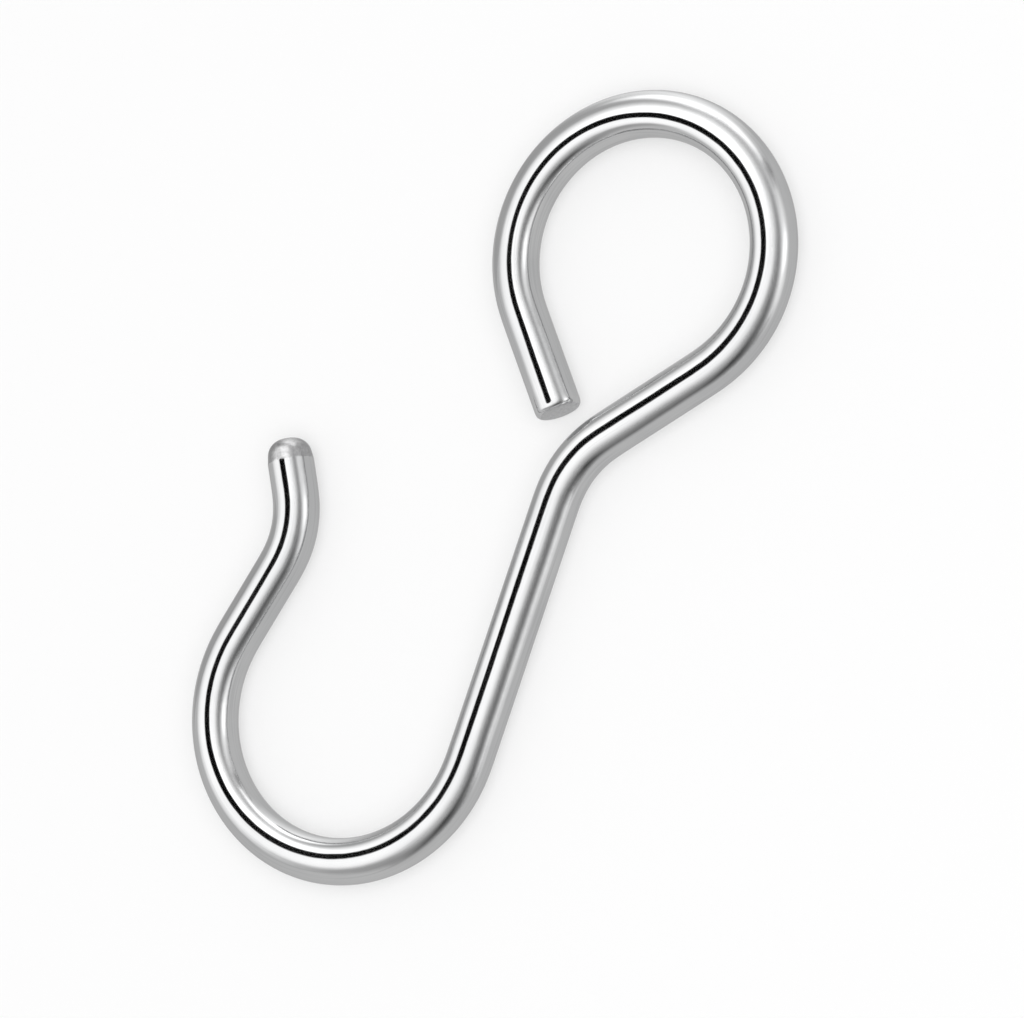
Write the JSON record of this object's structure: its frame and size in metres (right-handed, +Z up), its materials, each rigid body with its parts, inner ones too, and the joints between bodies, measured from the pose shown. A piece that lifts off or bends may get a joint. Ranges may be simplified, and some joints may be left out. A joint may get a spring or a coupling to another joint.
{
  "type": "seat cover hook",
  "caption": "Round plated steel wire bent flat into an open hook with an out-turned lip, a straight shank and a nearly closed round eye.",
  "frame": {"origin": "centre of the bounding box in X and Y, on the plane the hook lies on, which touches the underside of the wire all along its length", "axes": "+Y runs up the straight shank from the hook to the eye and is the longest extent; +Z is up, square to the plane of the bends, and is the wire's thickness; +X points from the hook's open side to the shank's side"},
  "size_m": [0.0258, 0.0456, 0.0025],
  "materials": {
    "plated_wire": "polished"
  },
  "bodies": {
    "root": {"hook_wire": "plated_wire"}
  },
  "joints": []
}
